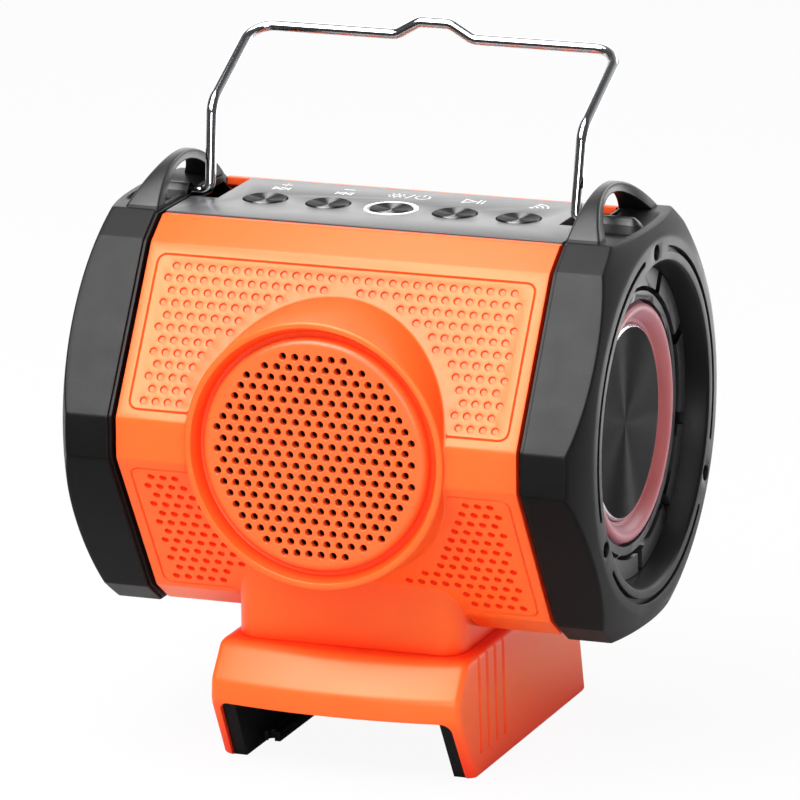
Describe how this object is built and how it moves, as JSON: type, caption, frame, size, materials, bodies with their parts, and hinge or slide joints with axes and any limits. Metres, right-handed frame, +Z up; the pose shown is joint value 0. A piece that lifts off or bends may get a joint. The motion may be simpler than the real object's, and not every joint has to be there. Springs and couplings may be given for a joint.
{
  "type": "job-site bluetooth speaker",
  "caption": "Six-sided orange speaker barrel on a tool-battery foot, with a round perforated pod, passive radiators in dark end caps, push buttons on top and a folding wire handle",
  "frame": {"origin": "On the ground, under the middle of the object's box", "axes": "+X along the barrel to the right as seen from the front, +Y to the back, +Z up; the speaker pod faces -Y"},
  "size_m": [0.1756, 0.1426, 0.2236],
  "materials": {
    "orange_plastic": "satin moulded plastic",
    "grey_plastic": "fine-grained dark grey plastic",
    "black_plastic": "matt black plastic",
    "button_plastic": "metal-look turned face",
    "white_plastic": "milky light guide",
    "red_rubber": "dull red rubber",
    "black_rubber": "dull black rubber",
    "spun_metal": "spun, dark tinted",
    "magnet": "plain ferrite and plated plates",
    "black_steel": "blackened",
    "screw_steel": "zinc plated",
    "chromed_wire": "polished chrome plating",
    "contact_brass": "plain contact strip",
    "board": "green circuit board",
    "lead_jacket": "insulated wire"
  },
  "bodies": {
    "housing": {"front_shell": "orange_plastic", "rear_shell": "orange_plastic", "left_end_cap": "grey_plastic", "right_end_cap": "grey_plastic", "cap_screws": "black_steel", "left_radiator_frame": "black_plastic", "right_radiator_frame": "black_plastic", "left_radiator_surround": "red_rubber", "right_radiator_surround": "red_rubber", "speaker_grille": "orange_plastic", "driver_gasket": "black_rubber", "driver_basket": "black_steel", "driver_magnet": "magnet", "driver_surround": "black_rubber", "driver_screws": "screw_steel", "control_panel": "grey_plastic", "light_ring": "white_plastic", "control_board": "board", "tact_switches": "black_plastic", "board_screws": "screw_steel", "main_board": "board", "main_board_screws": "screw_steel", "driver_leads": "lead_jacket", "power_leads": "lead_jacket", "battery_base": "orange_plastic", "battery_cradle": "black_plastic", "terminal_block": "black_plastic", "terminal_blades": "contact_brass", "shell_screws": "black_steel", "base_screws": "screw_steel", "cradle_screws": "screw_steel"},
    "carry_handle": {"handle": "chromed_wire"},
    "volume_up": {"volume_up_button": "button_plastic"},
    "volume_down": {"volume_down_button": "button_plastic"},
    "power": {"power_button": "button_plastic"},
    "play": {"play_button": "button_plastic"},
    "pair": {"pair_button": "button_plastic"},
    "left_radiator": {"left_radiator_disc": "spun_metal"},
    "right_radiator": {"right_radiator_disc": "spun_metal"},
    "cone": {"driver_cone": "black_plastic"}
  },
  "joints": [
    {"name": "handle_fold", "type": "hinge", "parent": "housing", "child": "carry_handle", "pos_m": [0, 0.0012, 0.1714], "axis": [1, 0, 0], "range_deg": [-70, 84]},
    {"name": "volume_up_press", "type": "slide", "parent": "housing", "child": "volume_up", "axis": [0, 0, -1], "range_m": [0, 0.0008], "stiffness_N_per_m": 800},
    {"name": "volume_down_press", "type": "slide", "parent": "housing", "child": "volume_down", "axis": [0, 0, -1], "range_m": [0, 0.0008], "stiffness_N_per_m": 800},
    {"name": "power_press", "type": "slide", "parent": "housing", "child": "power", "axis": [0, 0, -1], "range_m": [0, 0.0008], "stiffness_N_per_m": 800},
    {"name": "play_press", "type": "slide", "parent": "housing", "child": "play", "axis": [0, 0, -1], "range_m": [0, 0.0008], "stiffness_N_per_m": 800},
    {"name": "pair_press", "type": "slide", "parent": "housing", "child": "pair", "axis": [0, 0, -1], "range_m": [0, 0.0008], "stiffness_N_per_m": 800},
    {"name": "left_radiator_pump", "type": "slide", "parent": "housing", "child": "left_radiator", "axis": [-1, 0, 0], "range_m": [-0.0025, 0.0025], "stiffness_N_per_m": 500},
    {"name": "right_radiator_pump", "type": "slide", "parent": "housing", "child": "right_radiator", "axis": [1, 0, 0], "range_m": [-0.0025, 0.0025], "stiffness_N_per_m": 500},
    {"name": "cone_pump", "type": "slide", "parent": "housing", "child": "cone", "axis": [0, -1, 0], "range_m": [-0.002, 0.002], "stiffness_N_per_m": 1500}
  ]
}
